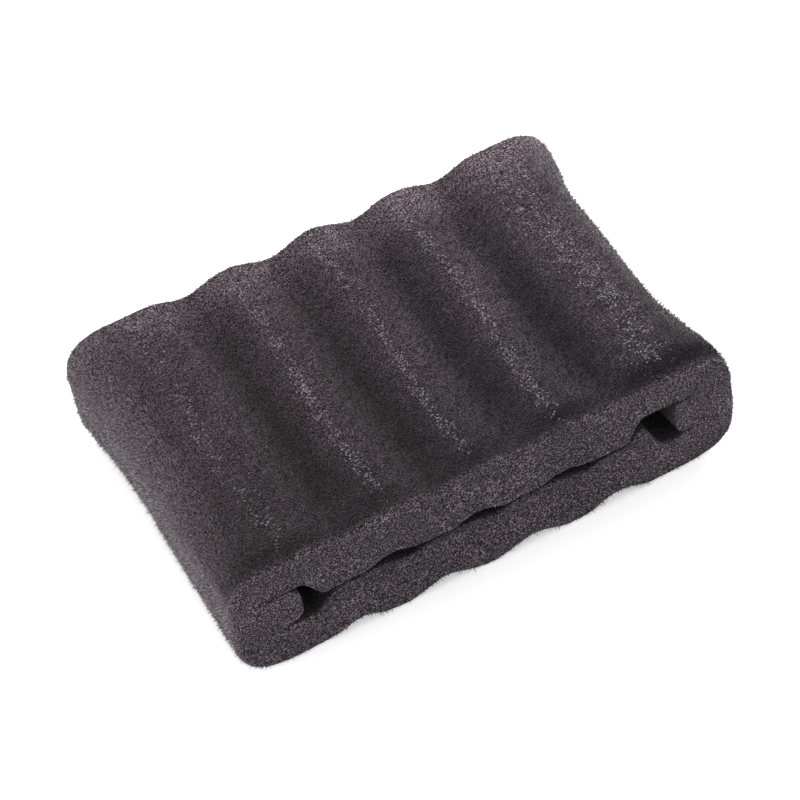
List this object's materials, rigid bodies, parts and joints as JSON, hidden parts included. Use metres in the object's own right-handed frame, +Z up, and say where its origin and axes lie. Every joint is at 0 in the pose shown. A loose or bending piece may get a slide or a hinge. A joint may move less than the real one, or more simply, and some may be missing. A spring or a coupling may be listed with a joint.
{
  "type": "foam filter sleeve",
  "caption": "Flat sleeve of charcoal open-cell foam with corrugated upper and lower walls, a slot right through and rounded ends, pulled over a pond or aquarium pump strainer.",
  "frame": {"origin": "middle of the underside, on the surface that the sleeve lies on", "axes": "+X along the width, from the left end to the right end; +Y along the depth, from the front cut face to the back one; +Z up"},
  "size_m": [0.13, 0.086, 0.035],
  "materials": {
    "filter_foam": "matte reticulated polyurethane foam, about 30 pores per inch"
  },
  "bodies": {
    "lower_body": {"lower_wall": "filter_foam"},
    "upper_body": {"upper_wall": "filter_foam"},
    "left_end": {"left_end_strip": "filter_foam"},
    "right_end": {"right_end_strip": "filter_foam"}
  },
  "joints": [
    {"name": "mouth_open", "type": "slide", "parent": "lower_body", "child": "upper_body", "axis": [0, 0, 1], "range_m": [0, 0.01], "stiffness_N_per_m": 300},
    {"name": "left_end_stretch", "type": "slide", "parent": "lower_body", "child": "left_end", "axis": [0, 0, 1], "range_m": [0, 0.005]},
    {"name": "right_end_stretch", "type": "slide", "parent": "lower_body", "child": "right_end", "axis": [0, 0, 1], "range_m": [0, 0.005]}
  ],
  "couplings": [
    {"joint": "left_end_stretch", "follows": "mouth_open", "ratio": 0.5},
    {"joint": "right_end_stretch", "follows": "mouth_open", "ratio": 0.5}
  ]
}
